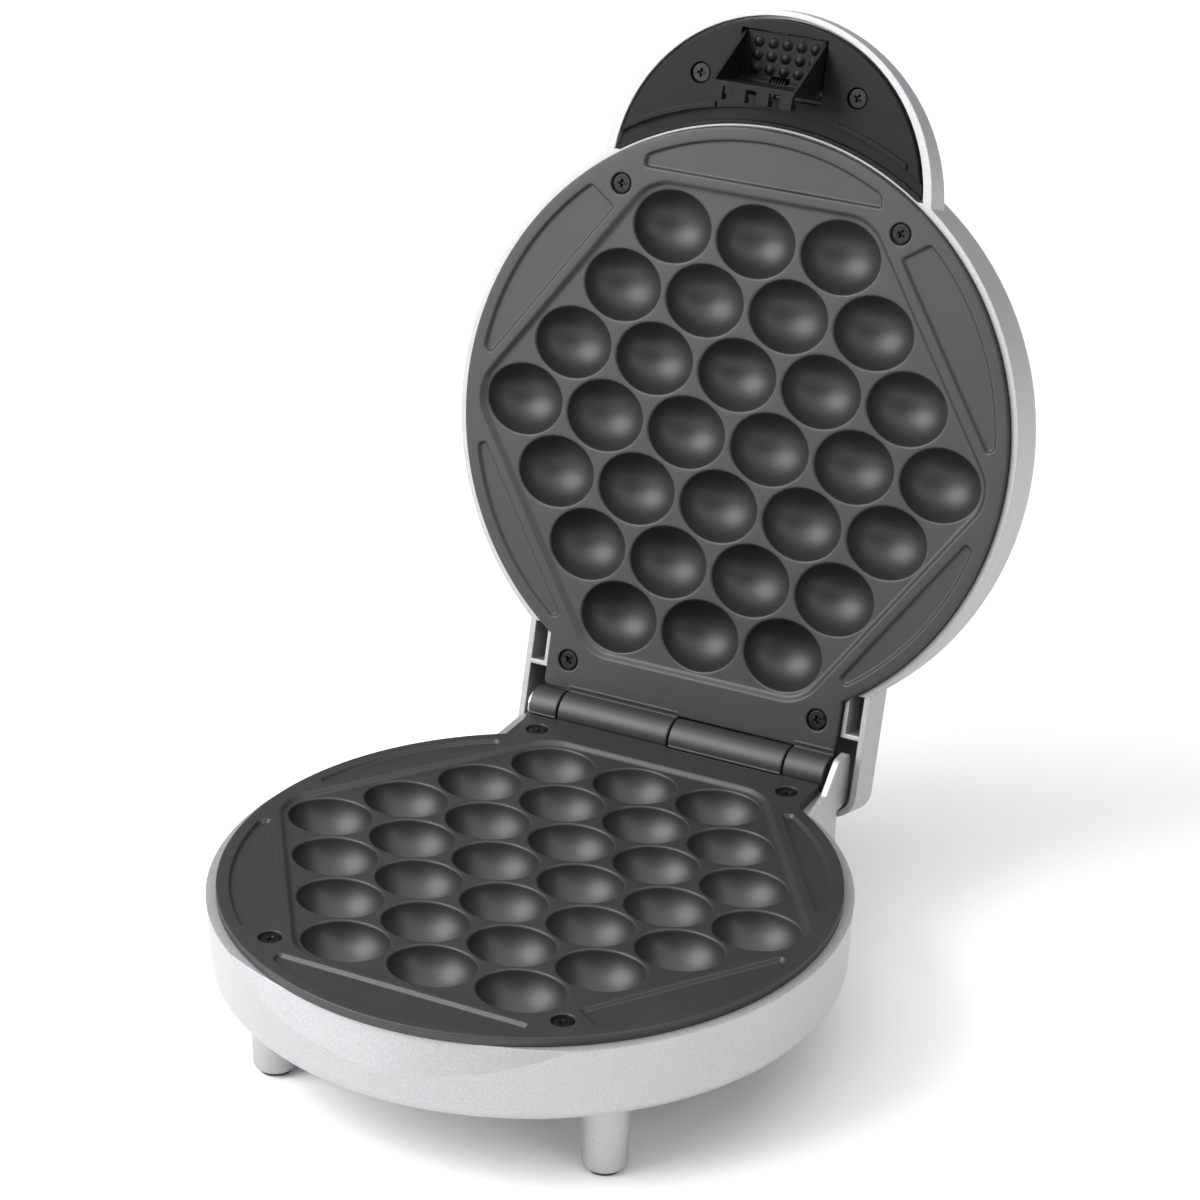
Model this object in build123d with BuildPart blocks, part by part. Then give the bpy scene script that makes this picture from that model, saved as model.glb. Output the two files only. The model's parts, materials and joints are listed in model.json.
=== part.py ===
# Bubble waffle maker: two hinged cast plates of oval cavities between a base on legs and a lid.
# Millimetres. +Z up, +X to the right along the hinge, -Y to the front, lid standing open at rest.
# The origin is on the table, under the centre of the round plates.
import os
from math import acos, degrees, hypot, sqrt

from build123d import *

os.makedirs("parts", exist_ok=True)

# Overall places
PARTING_HEIGHT = 59.0
HINGE_Y = 112.2
OPEN_ANGLE = 104.85
FACE_GAP = 0.3
RUNNING_GAP = 0.4
SEAT_GAP = 0.05

# Baking plates
PLATE_R = 103.2
FLANGE = 3.2
ROWS = (3, 4, 5, 6, 5, 4, 3)
PITCH = 32.0
ROW_SPACING = 23.3
LATTICE_Y = 5.2
CAVITY_A = 14.8
CAVITY_B = 12.6
CAVITY_RISE = 0.8
RECESS = 1.5
RECESS_MARGIN = 3.3
RECESS_TAPER = 35.0
HEX_CORNER_R = 15.0
RIDGE = 2.5
RIM_BAND = 4.0
POCKET_CORNER_R = 1.5
POCKET_REAR_Y = 84.0
BOSS_MARGIN = 2.4
BOSS_DEPTH = 17.0
APRON_X = 57.0
FRONT_SCREWS = (53.0, -76.4)
REAR_SCREWS = (48.7, 94.3)
SCREW_LAND_R = 6.6

# Screws
SCREW_R = 1.9
SCREW_HEAD_R = 3.4
SCREW_HEAD = 1.4
SCREW_SINK = 2.0
SCREW_LENGTH = 12.0
SCREW_POST_R = 4.5

# Hinge: where each knuckle starts and ends along X
KNUCKLE_R = 7.0
PIN_R = 3.0
BASE_KNUCKLES = ((-58.3, -47.3), (-2.7, 41.2))
LID_KNUCKLES = ((-46.7, -3.3), (41.8, 57.0))
BLIND_END = 2.0
PIN_HEAD_R = 4.6
PIN_HEAD = 1.5
SIDE_RIB = (1.2, 12.0)

# Heating elements and their reflectors
ELEMENT_R = 3.3
ELEMENT_SEAT = 1.2
ELEMENT_BEND_R = 18.0
ELEMENT_X = 24.0
ELEMENT_END_Y = 88.0
TERMINAL_R = 1.6
TERMINAL_LENGTH = 6.0
SHEET = 0.7
REFLECTOR_MARGIN = -4.0
PILLARS = ((0.0, -34.2), (-32.0, 12.4), (32.0, 12.4))
PILLAR_R = 3.6
SMALL_SCREW_R = 1.5
SMALL_HEAD_R = 2.8
SMALL_HEAD = 1.6

# Base shell
WALL = 2.2
BASE_R = 106.6
BASE_FOOT_R = 105.2
BASE_DEPTH = 29.5
BASE_CORNER_R = 4.5
LEDGE_R = 99.5
LEDGE = 2.4
BASE_TAIL_X = 62.2
BASE_TAIL_Y = 110.3
EAR_TOP = 9.0
EAR_HALF = 4.5
EAR_START_Y = 85.5
THUMB_CUT_X = 61.5
THUMB_CUT_FRONT = 101.5
THUMB_CUT_DEPTH = 12.6
FRONT_LEGS = (61.0, -62.3)
REAR_LEGS = (52.0, 96.0)
LEG_TOP_R = 8.0
LEG_BOTTOM_R = 7.4
PAD_R = 5.2
PAD = 1.2
CORD_INLET = (34.0, 22.6)
CORD_INLET_R = 3.4
CORD_R = 2.6
GROMMET_R = 4.3
GROMMET = 1.2

# Lid shell
LID_BEZEL = 2.4
LID_LEDGE = 1.6
REBATE_GAP = 0.3
LID_R = 106.0
LID_SHOULDER_R = 12.0
LID_TOP = 32.5
LID_CROWN = 2.0
LID_DRAFT = 1.0
LID_TAIL_X = 66.5
LID_TAIL_Y = 127.0
LID_TAIL_START = 60.0
LID_TAIL_TOP = 21.0
LID_TAIL_CORNER_R = 8.0
LID_TAIL_EDGE_R = 5.0
FRAME_X = 57.5
FRAME_WALL = 1.6
FRAME_Y = (83.2, 97.2)
FRAME_DEPTH = 10.0

# Handle and latch
LOBE_R = 61.9
LOBE_Y = -82.0
LOBE_TOP = 17.0
LOBE_NOSE = 11.0
LOBE_EDGE_R = 3.0
LOBE_INNER_R = 57.0
COVER_R = 58.5
COVER_Y = -83.4
COVER_FACE = 2.0
COVER = 4.0
CHANNEL_R = (105.3, 110.0)
CHANNEL_FACE = 3.8
RIB_R = (110.0, 112.0)
RIB_X = 51.0
RIB = 0.8
RIB_BREAK = (-22.0, 24.0)
HANDLE_SCREWS = (29.5, -118.6)
HANDLE_SCREW_LENGTH = 7.5
LATCH_X = 15.7
LATCH_SIDE_GAP = 0.6
LATCH_PIVOT = (-117.8, 4.0)
LATCH_FRONT_Y = -135.8
LATCH_PAD = (3.4, 5.4)
LATCH_HUB_R = 2.4
HOOK_DEPTH = 19.5
HOOK_WALL = 1.8
TOOTH_Y = -112.4
TOOTH = 1.8
TOOTH_WIDTH = 4.6
TOOTH_PITCH = 8.6
BARB_RISE = 1.6
BARB = 1.8
LATCH_PIN_R = 1.25
LATCH_PIN_X = 21.0
GUSSET = 1.2
SPRING_R = 2.5
SPRING_WIRE_R = 0.45
SPRING_PITCH = 1.1
SPRING_TURNS = 5
DOT_R = 2.0
DOT_HEIGHT = 0.8
DOT_PITCH = (5.3, 4.6)
DOT_CENTRE = (0.8, -127.8)

# Indicator lamps
LENS_R = 3.0
LENS_X = 9.0
LENS_Y = -78.0
LENS_FLANGE = 1.0
LENS_PROUD = 0.6
HOLDER = (52.0, 9.0, 3.0)
HOLDER_POST_X = 21.0
HOLDER_POST_R = 3.0
PEG_R = 1.5

# Inner pieces
THERMOSTAT_R = 8.0
THERMOSTAT_BODY = 5.0
THERMOSTAT_CAP_R = 6.5
THERMOSTAT_CAP = 3.2
BLADE = (6.3, 0.8, 7.0)
FUSE_R = 2.2
FUSE_LENGTH = 16.0
BLOCK = (28.0, 10.0, 12.0)
BLOCK_Y = 101.0
LEAD_R = 1.2
LEAD_BEND_R = 3.5
LEAD_X = 17.0
LEAD_DEPTH = 27.0

LOWER = Plane.XY.offset(PARTING_HEIGHT - FACE_GAP / 2)
LID_TURN = Pos(0, HINGE_Y, PARTING_HEIGHT) * Rot(-OPEN_ANGLE, 0, 0) * Pos(0, -HINGE_Y, FACE_GAP / 2)
UPPER = Plane(LID_TURN)
DOWN = -1
UP = 1


# Planes and places on a plate, whose own plane has its centre on the plate's face
def level(face, height):
    """The plane this far above a plate's face."""
    return face.offset(height)


def across(face, x):
    """The plane square to the hinge at this x, drawn as (y, z)."""
    return Plane(face.from_local_coords((x, 0, 0)), x_dir=face.y_dir, z_dir=face.x_dir)


def upright(face, y=0.0):
    """The plane along the hinge at this y, drawn as (x, z)."""
    return Plane(face.from_local_coords((0, y, 0)), x_dir=face.x_dir, z_dir=-face.y_dir)


def hinge_z(into):
    return -into * FACE_GAP / 2


def both_sides(point):
    return [(-point[0], point[1]), (point[0], point[1])]


def cavity_places():
    middle = (len(ROWS) - 1) / 2
    for row, count in enumerate(ROWS):
        for number in range(count):
            yield ((number - (count - 1) / 2) * PITCH, LATTICE_Y + (row - middle) * ROW_SPACING)


# Outlines shared by the two plates
def hexagon(margin):
    """A rounded hexagon that stays this far outside the rims of the cavities."""
    side = Vector(ROW_SPACING, PITCH / 2).normalized()
    half_row = (max(ROWS) - 1) / 2 * PITCH
    reach = half_row * side.X + hypot(CAVITY_A * side.X, CAVITY_B * side.Y) + margin
    end = (len(ROWS) - 1) / 2 * ROW_SPACING + CAVITY_B + margin
    tip = reach / side.X
    shoulder = (reach - end * side.Y) / side.X
    corners = [(tip, 0), (shoulder, end), (-shoulder, end), (-tip, 0), (-shoulder, -end), (shoulder, -end)]
    with BuildSketch() as outline:
        Polygon(*corners, align=None)
        fillet(outline.vertices(), HEX_CORNER_R)
    return Pos(0, LATTICE_Y) * outline.sketch


def lens_pockets():
    """The five shallow pockets between the hexagon and the rim, clear of the screws."""
    with BuildSketch() as pockets:
        Circle(PLATE_R - RIM_BAND)
        add(hexagon(RECESS_MARGIN + RIDGE), mode=Mode.SUBTRACT)
        with Locations(*both_sides(FRONT_SCREWS)):
            Circle(SCREW_LAND_R, mode=Mode.SUBTRACT)
        with Locations((0, POCKET_REAR_Y)):
            Rectangle(2 * PLATE_R, PLATE_R, align=(Align.CENTER, Align.MIN), mode=Mode.SUBTRACT)
    shrunk = [offset(pocket, -POCKET_CORNER_R) for pocket in pockets.faces()]
    rounded = [offset(pocket, POCKET_CORNER_R, kind=Kind.ARC) for pocket in shrunk]
    with BuildSketch() as softened:
        add(rounded)
    return softened.sketch


def bubble(into):
    """An oval cavity's whole spheroid, its seam and poles on the open side."""
    height = hypot(CAVITY_B, CAVITY_RISE)
    width = CAVITY_A * height / CAVITY_B
    with BuildPart() as spheroid:
        with BuildSketch(Plane.XZ):
            Ellipse(width, height)
            with Locations((0, into * height)):
                Rectangle(2 * width, 2 * height, mode=Mode.SUBTRACT)
        revolve(axis=Axis.X)
    return spheroid.part


def element_path(plane):
    """The route of a heating element, a loop open towards the hinge."""
    half = [(ELEMENT_X, ELEMENT_END_Y), (ELEMENT_X, 66.0), (62.0, LATTICE_Y), (34.0, -52.0)]
    with BuildLine(plane) as route:
        FilletPolyline(*[(-x, y) for x, y in half], *reversed(half), radius=ELEMENT_BEND_R)
    return route.line


def tube(path, radius):
    start = Plane(path @ 0, z_dir=path % 0)
    with BuildPart() as run:
        with BuildSketch(start):
            Circle(radius)
        sweep(path=path)
    return run.part


def plate_casting(face, into, own_knuckles):
    """A baking plate. It reaches from its face in the direction of into."""
    element = level(face, into * (BOSS_DEPTH - ELEMENT_SEAT + ELEMENT_R))
    pillar_end = BOSS_DEPTH - ELEMENT_SEAT + 2 * ELEMENT_R
    apron_end = HINGE_Y - KNUCKLE_R - RUNNING_GAP
    with BuildPart() as casting:
        with BuildSketch(face):
            Circle(PLATE_R)
            Rectangle(2 * APRON_X, apron_end, align=(Align.CENTER, Align.MIN))
        extrude(amount=into * FLANGE)
        with BuildSketch(face):
            add(hexagon(BOSS_MARGIN))
        extrude(amount=into * BOSS_DEPTH)
        with BuildSketch(level(face, into * BOSS_DEPTH)):
            with Locations(*PILLARS):
                Circle(PILLAR_R)
        extrude(amount=into * (pillar_end - BOSS_DEPTH))
        for start, end in own_knuckles:
            with BuildSketch(across(face, start)):
                with Locations((HINGE_Y, hinge_z(into))):
                    Circle(KNUCKLE_R)
                with Locations((apron_end - FLANGE, 0)):
                    web_low = Align.MIN if into == UP else Align.MAX
                    Rectangle(KNUCKLE_R + FLANGE, FLANGE, align=(Align.MIN, web_low))
            extrude(amount=end - start)
        with BuildSketch(face):
            add(hexagon(RECESS_MARGIN))
        extrude(amount=into * RECESS, taper=RECESS_TAPER, mode=Mode.SUBTRACT)
        with BuildSketch(face):
            add(lens_pockets())
        extrude(amount=into * RECESS, mode=Mode.SUBTRACT)
        cavity_z = into * (RECESS - CAVITY_RISE)
        with Locations(*[face.location * Pos(x, y, cavity_z) for x, y in cavity_places()]):
            add(bubble(into), mode=Mode.SUBTRACT)
        add(tube(element_path(element), ELEMENT_R + SEAT_GAP), mode=Mode.SUBTRACT)
        with BuildSketch(face):
            with Locations(*plate_screw_places()):
                Circle(SCREW_HEAD_R + RUNNING_GAP)
        extrude(amount=into * SCREW_SINK, mode=Mode.SUBTRACT)
        with BuildSketch(face):
            with Locations(*plate_screw_places()):
                Circle(SCREW_R + SEAT_GAP)
        extrude(amount=into * FLANGE, mode=Mode.SUBTRACT)
        with BuildSketch(level(face, into * pillar_end)):
            with Locations(*PILLARS):
                Circle(SMALL_SCREW_R + SEAT_GAP)
        extrude(amount=-into * SCREW_LENGTH, mode=Mode.SUBTRACT)
        with BuildSketch(across(face, BASE_KNUCKLES[0][0])):
            with Locations((HINGE_Y, hinge_z(into))):
                Circle(PIN_R + SEAT_GAP)
        extrude(amount=LID_KNUCKLES[-1][1] - BLIND_END - BASE_KNUCKLES[0][0], mode=Mode.SUBTRACT)
    return casting.part


def plate_screw_places():
    return both_sides(FRONT_SCREWS) + both_sides(REAR_SCREWS)


def element_tube(face, into):
    """A sheathed element with a terminal pin at each end."""
    plane = level(face, into * (BOSS_DEPTH - ELEMENT_SEAT + ELEMENT_R))
    with BuildPart() as element:
        add(tube(element_path(plane), ELEMENT_R))
        with BuildSketch(upright(plane, ELEMENT_END_Y)):
            with Locations(*both_sides((ELEMENT_X, 0))):
                Circle(TERMINAL_R)
        extrude(amount=-TERMINAL_LENGTH)
    return element.part


def reflector_pan(face, into):
    """A sheet pan under an element, held on the plate's three pillars."""
    floor = BOSS_DEPTH - ELEMENT_SEAT + 2 * ELEMENT_R
    rim = BOSS_DEPTH + RUNNING_GAP
    with BuildPart() as pan:
        with BuildSketch(level(face, into * rim)):
            add(hexagon(REFLECTOR_MARGIN))
        extrude(amount=into * (floor + SHEET - rim))
        with BuildSketch(level(face, into * rim)):
            add(hexagon(REFLECTOR_MARGIN - SHEET))
        extrude(amount=into * (floor - rim), mode=Mode.SUBTRACT)
        with BuildSketch(level(face, into * rim)):
            with Locations(*both_sides((ELEMENT_X, ELEMENT_END_Y))):
                Rectangle(2 * ELEMENT_R + 2, 30)
        extrude(amount=into * (floor - rim), mode=Mode.SUBTRACT)
        with BuildSketch(level(face, into * floor)):
            with Locations((0, LATTICE_Y)):
                SlotCenterToCenter(3 * THERMOSTAT_R, 2 * THERMOSTAT_R + 2)
            with Locations(*PILLARS):
                Circle(SMALL_SCREW_R + SEAT_GAP)
        extrude(amount=into * SHEET, mode=Mode.SUBTRACT)
    return pan.part


def reflector_screws(face, into):
    head = level(face, into * (BOSS_DEPTH - ELEMENT_SEAT + 2 * ELEMENT_R + SHEET))
    with BuildPart() as screws:
        with BuildSketch(head):
            with Locations(*PILLARS):
                Circle(SMALL_HEAD_R)
        extrude(amount=into * SMALL_HEAD)
        with BuildSketch(head):
            with Locations(*PILLARS):
                Circle(SMALL_SCREW_R)
        extrude(amount=-into * (SCREW_LENGTH - 2))
    return screws.part


def lead(face, into, points):
    """An insulated wire through these points, each with its depth from a plate's plane."""
    placed = [face.from_local_coords((x, y, into * depth)) for x, y, depth in points]
    with BuildLine() as route:
        FilletPolyline(*placed, radius=LEAD_BEND_R)
    return tube(route.line, LEAD_R)


# Round bodies of the two shells
def base_bowl(inset, top):
    """The round body of the base, up to this height, drawn in all round by the inset."""
    with BuildPart() as bowl:
        with BuildSketch(upright(LOWER)) as section:
            with BuildLine():
                Polyline(
                    (0, top),
                    (BASE_R - inset, top),
                    (BASE_FOOT_R - inset, inset - BASE_DEPTH),
                    (0, inset - BASE_DEPTH),
                    close=True,
                )
            make_face()
            outer_low = section.vertices().sort_by(Axis.Y)[:2].sort_by(Axis.X)[-1]
            fillet(outer_low, BASE_CORNER_R - inset)
        revolve(axis=Axis(LOWER.origin, LOWER.z_dir))
    return bowl.part


def thumb_cut(wall):
    """All outside the sloping face that is cut under the front rim, less a wall."""
    meets_y = sqrt(BASE_R**2 - THUMB_CUT_X**2)
    centre_y = (BASE_R**2 - THUMB_CUT_FRONT**2) / (2 * (THUMB_CUT_FRONT - meets_y))
    low_front = BASE_R - (BASE_R - BASE_FOOT_R) * (FLANGE + THUMB_CUT_DEPTH) / BASE_DEPTH
    with BuildPart() as outside:
        with BuildSketch(level(LOWER, -FLANGE)):
            Circle(BASE_R + centre_y)
        extrude(amount=-THUMB_CUT_DEPTH)
        with Locations(LOWER.location * Pos(0, centre_y, -FLANGE - THUMB_CUT_DEPTH / 2)):
            low_r = low_front + centre_y - wall
            top_r = THUMB_CUT_FRONT + centre_y - wall
            Cone(low_r, top_r, THUMB_CUT_DEPTH, mode=Mode.SUBTRACT)
    return outside.part


def base_hollow():
    """The inside of the base, held back from the sloping face at the front."""
    with BuildPart() as inside:
        add(base_bowl(WALL, -FLANGE - LEDGE))
        with BuildSketch(level(LOWER, WALL - BASE_DEPTH)):
            Rectangle(2 * (BASE_TAIL_X - WALL), BASE_TAIL_Y - WALL, align=(Align.CENTER, Align.MIN))
        extrude(amount=BASE_DEPTH - WALL - FLANGE - LEDGE)
        add(thumb_cut(WALL), mode=Mode.SUBTRACT)
    return inside.part


def leg_places():
    return both_sides(FRONT_LEGS) + both_sides(REAR_LEGS)


def leg():
    """A tapered leg, drawn at the origin, that runs into the floor of the base."""
    top = LOWER.origin.Z - BASE_DEPTH
    with BuildPart() as stub:
        with BuildSketch(Plane.XZ) as section:
            corners = [(0, PAD), (LEG_BOTTOM_R, PAD), (LEG_TOP_R, top), (LEG_TOP_R, top + WALL / 2)]
            Polygon(*corners, (0, top + WALL / 2), align=None)
            fillet(section.vertices().sort_by(Axis.Y)[:2].sort_by(Axis.X)[-1], LEG_BOTTOM_R - PAD_R)
        revolve(axis=Axis.Z)
    return stub.part


def lid_bowl(inset, bottom):
    """The round body of the lid, down to this height, drawn in all round by the inset."""
    wall_r = LID_R - LID_DRAFT - inset
    shoulder_z = LID_TOP - LID_SHOULDER_R
    flat_r = LID_R - LID_DRAFT - LID_SHOULDER_R
    flat_z = LID_TOP - inset
    crown_r = (flat_r**2 + LID_CROWN**2) / (2 * LID_CROWN)
    crown_start = degrees(acos(flat_r / crown_r))
    with BuildPart() as bowl:
        with BuildSketch(upright(UPPER)):
            with BuildLine():
                Polyline((0, flat_z + LID_CROWN), (0, bottom), (LID_R - inset, bottom), (wall_r, shoulder_z))
                CenterArc((flat_r, shoulder_z), LID_SHOULDER_R - inset, 0, 90)
                CenterArc((0, flat_z + LID_CROWN - crown_r), crown_r, crown_start, 90 - crown_start)
            make_face()
        revolve(axis=Axis(UPPER.origin, UPPER.z_dir))
    return bowl.part


def lid_tail(inset, start_y, bottom):
    """The square tail of the lid, which covers the hinge."""
    with BuildPart() as tail:
        with BuildSketch(level(UPPER, bottom)) as outline:
            with Locations((0, start_y)):
                Rectangle(2 * (LID_TAIL_X - inset), LID_TAIL_Y - inset - start_y, align=(Align.CENTER, Align.MIN))
            fillet(outline.vertices().sort_by(Axis.Y)[-2:], LID_TAIL_CORNER_R - inset)
        extrude(amount=LID_TAIL_TOP - inset - bottom)
        fillet(tail.faces().sort_by(Axis(UPPER.origin, UPPER.z_dir))[-1].edges(), LID_TAIL_EDGE_R - inset)
    return tail.part


def lobe_height(y):
    """The height of the handle's sloping top at this y."""
    return LOBE_NOSE + (LOBE_TOP - LOBE_NOSE) * (y - LOBE_Y + LOBE_R) / LOBE_R


def handle_lobe(radius, drop, bottom, edge_r):
    """The round handle at the front of the lid, whose top slopes down to the nose."""
    nose_y = LOBE_Y - LOBE_R
    low_z = LOBE_NOSE - drop
    high_z = lobe_height(LOBE_Y + LOBE_R) - drop
    with BuildPart() as lobe:
        add(disc(level(UPPER, bottom), radius, 2 * LOBE_TOP, (0, LOBE_Y)))
        with BuildSketch(across(UPPER, -LOBE_R)):
            corners = [(nose_y, low_z), (nose_y + 2 * LOBE_R, high_z), (nose_y + 2 * LOBE_R, 3 * LOBE_TOP)]
            Polygon(*corners, (nose_y, 3 * LOBE_TOP), align=None)
        extrude(amount=2 * LOBE_R, mode=Mode.SUBTRACT)
        fillet(lobe.faces().sort_by(Axis(UPPER.origin, UPPER.z_dir))[-1].edges(), edge_r)
    return lobe.part


def screws(seat, places, length, side):
    """Pan head screws whose heads sit on the seat plane, on this side of it."""
    with BuildPart() as set_of_screws:
        with BuildSketch(seat):
            with Locations(*places):
                Circle(SCREW_HEAD_R)
        extrude(amount=side * SCREW_HEAD)
        with BuildSketch(seat):
            with Locations(*places):
                Circle(SCREW_R)
        extrude(amount=-side * length)
    return set_of_screws.part


def disc(plane, radius, amount, centre=(0, 0)):
    with BuildPart() as solid:
        with BuildSketch(plane):
            with Locations(centre):
                Circle(radius)
        extrude(amount=amount)
    return solid.part


def roof_height(radius):
    """The height of the lid's outer surface this far from the middle."""
    flat_r = LID_R - LID_DRAFT - LID_SHOULDER_R
    return LID_TOP + LID_CROWN * (1 - (radius / flat_r) ** 2)


def flange_top():
    """The top of a lens flange, just under the lid's inner surface all round."""
    reach = hypot(LENS_X + LENS_R + 1, LENS_Y - LENS_R - 1)
    return roof_height(reach) - WALL - SEAT_GAP


def lens(x):
    with BuildPart() as body:
        flange = level(UPPER, flange_top() - LENS_FLANGE)
        add(disc(flange, LENS_R + 1, LENS_FLANGE, (x, LENS_Y)))
        top = roof_height(hypot(x, LENS_Y)) + LENS_PROUD
        add(disc(flange, LENS_R, top - flange_top() + LENS_FLANGE, (x, LENS_Y)))
        fillet(body.faces().sort_by(Axis(UPPER.origin, UPPER.z_dir))[-1].edges(), LENS_PROUD)
    return body.part


def dot(ball_r):
    """The cap of a ball, one of the dots on the latch, with its flat side up."""
    with BuildPart() as cap:
        Sphere(ball_r)
        with Locations((0, 0, DOT_HEIGHT - ball_r + 0.2)):
            Box(3 * ball_r, 3 * ball_r, 3 * ball_r, align=(Align.CENTER, Align.CENTER, Align.MIN), mode=Mode.SUBTRACT)
    return cap.part


# Lower plate, with a rib beside each end of its apron
with BuildPart() as lower_plate:
    add(plate_casting(LOWER, DOWN, BASE_KNUCKLES))
    with BuildSketch(level(LOWER, -FLANGE)):
        with Locations(*both_sides((APRON_X, FRAME_Y[0]))):
            Rectangle(2 * SIDE_RIB[0], SIDE_RIB[1], align=(Align.CENTER, Align.MIN))
    extrude(amount=FLANGE)
lower_plate.part.label = "lower_plate"
export_step(lower_plate.part, "parts/lower_plate.step")

# Upper plate
with BuildPart() as upper_plate:
    add(plate_casting(UPPER, UP, LID_KNUCKLES))
upper_plate.part.label = "upper_plate"
export_step(upper_plate.part, "parts/upper_plate.step")

# Screws that hold each plate on its shell
with BuildPart() as lower_plate_screws:
    add(screws(level(LOWER, -SCREW_SINK), plate_screw_places(), SCREW_LENGTH, UP))
lower_plate_screws.part.label = "lower_plate_screws"
export_step(lower_plate_screws.part, "parts/lower_plate_screws.step")

with BuildPart() as upper_plate_screws:
    add(screws(level(UPPER, SCREW_SINK), plate_screw_places(), SCREW_LENGTH, DOWN))
upper_plate_screws.part.label = "upper_plate_screws"
export_step(upper_plate_screws.part, "parts/upper_plate_screws.step")

# Heating elements
with BuildPart() as lower_element:
    add(element_tube(LOWER, DOWN))
lower_element.part.label = "lower_element"
export_step(lower_element.part, "parts/lower_element.step")

with BuildPart() as upper_element:
    add(element_tube(UPPER, UP))
upper_element.part.label = "upper_element"
export_step(upper_element.part, "parts/upper_element.step")

# Reflector pans and their screws
with BuildPart() as lower_reflector:
    add(reflector_pan(LOWER, DOWN))
lower_reflector.part.label = "lower_reflector"
export_step(lower_reflector.part, "parts/lower_reflector.step")

with BuildPart() as upper_reflector:
    add(reflector_pan(UPPER, UP))
upper_reflector.part.label = "upper_reflector"
export_step(upper_reflector.part, "parts/upper_reflector.step")

with BuildPart() as lower_reflector_screws:
    add(reflector_screws(LOWER, DOWN))
lower_reflector_screws.part.label = "lower_reflector_screws"
export_step(lower_reflector_screws.part, "parts/lower_reflector_screws.step")

with BuildPart() as upper_reflector_screws:
    add(reflector_screws(UPPER, UP))
upper_reflector_screws.part.label = "upper_reflector_screws"
export_step(upper_reflector_screws.part, "parts/upper_reflector_screws.step")

# Thermostat on the back of the lower plate
with BuildPart() as thermostat:
    with BuildSketch(level(LOWER, -BOSS_DEPTH)):
        with Locations((0, LATTICE_Y)):
            Circle(THERMOSTAT_R)
    extrude(amount=-THERMOSTAT_BODY)
    with BuildSketch(level(LOWER, -BOSS_DEPTH - THERMOSTAT_BODY)):
        with Locations((0, LATTICE_Y)):
            Circle(THERMOSTAT_CAP_R)
    extrude(amount=-THERMOSTAT_CAP)
    with BuildSketch(level(LOWER, BLADE[1] - BOSS_DEPTH - THERMOSTAT_BODY - THERMOSTAT_CAP)):
        with Locations((0, LATTICE_Y)):
            Rectangle(2 * (THERMOSTAT_CAP_R + BLADE[2]), BLADE[0])
    extrude(amount=-BLADE[1])
thermostat.part.label = "thermostat"
export_step(thermostat.part, "parts/thermostat.step")

# Thermal fuse clipped to the back of the upper plate
with BuildPart() as thermal_fuse:
    with BuildSketch(across(UPPER, -FUSE_LENGTH / 2)):
        with Locations((LATTICE_Y, BOSS_DEPTH + FUSE_R)):
            Circle(FUSE_R)
    extrude(amount=FUSE_LENGTH)
    with BuildSketch(level(UPPER, BOSS_DEPTH)):
        with Locations((0, LATTICE_Y)):
            Rectangle(5, 2 * FUSE_R + 4)
    extrude(amount=FUSE_R)
thermal_fuse.part.label = "thermal_fuse"
export_step(thermal_fuse.part, "parts/thermal_fuse.step")

# Base shell: a round bowl with a square tail, four legs, a finger scoop and two hinge ears
with BuildPart() as base_shell:
    add(base_bowl(0, -FLANGE))
    with BuildSketch(level(LOWER, -BASE_DEPTH)) as tail_outline:
        Rectangle(2 * BASE_TAIL_X, BASE_TAIL_Y, align=(Align.CENTER, Align.MIN))
        fillet(tail_outline.vertices().sort_by(Axis.Y)[-2:], BASE_CORNER_R)
    extrude(amount=BASE_DEPTH - FLANGE)
    add(thumb_cut(0), mode=Mode.SUBTRACT)

    add(base_hollow(), mode=Mode.SUBTRACT)
    add(disc(level(LOWER, -FLANGE), LEDGE_R, -LEDGE), mode=Mode.SUBTRACT)
    with BuildSketch(level(LOWER, -FLANGE)):
        with Locations((0, HINGE_Y - KNUCKLE_R - RUNNING_GAP)):
            Rectangle(2 * (BASE_TAIL_X - WALL), 2 * KNUCKLE_R, align=(Align.CENTER, Align.MIN))
    extrude(amount=-KNUCKLE_R + FLANGE - 2 * RUNNING_GAP, mode=Mode.SUBTRACT)

    with BuildSketch(level(LOWER, WALL / 2 - BASE_DEPTH)):
        with Locations(*plate_screw_places()):
            Circle(SCREW_POST_R)
    extrude(amount=BASE_DEPTH - WALL / 2 - FLANGE)
    with BuildSketch(level(LOWER, -FLANGE)):
        with Locations(*plate_screw_places()):
            Circle(SCREW_R + SEAT_GAP)
    extrude(amount=-SCREW_LENGTH, mode=Mode.SUBTRACT)

    with BuildSketch(across(LOWER, BASE_TAIL_X - WALL)) as ear:
        Polygon(
            (EAR_START_Y, -FLANGE),
            (FRAME_Y[1] + RUNNING_GAP, -RUNNING_GAP),
            (HINGE_Y - EAR_HALF, EAR_TOP),
            (HINGE_Y + EAR_HALF, EAR_TOP),
            (HINGE_Y + EAR_HALF, -FLANGE - KNUCKLE_R),
            (HINGE_Y - EAR_HALF, -FLANGE - KNUCKLE_R),
            align=None,
        )
        fillet(ear.vertices().sort_by(Axis.Y)[-2:], EAR_HALF - 1)
    extrude(amount=WALL)

    with BuildSketch(upright(LOWER, BASE_TAIL_Y - WALL - 1)):
        with Locations((CORD_INLET[0], -CORD_INLET[1])):
            Circle(CORD_INLET_R)
    extrude(amount=-WALL - 2, mode=Mode.SUBTRACT)

    with Locations(*leg_places()):
        add(leg())
base_shell.part.label = "base_shell"
export_step(base_shell.part, "parts/base_shell.step")

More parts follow.
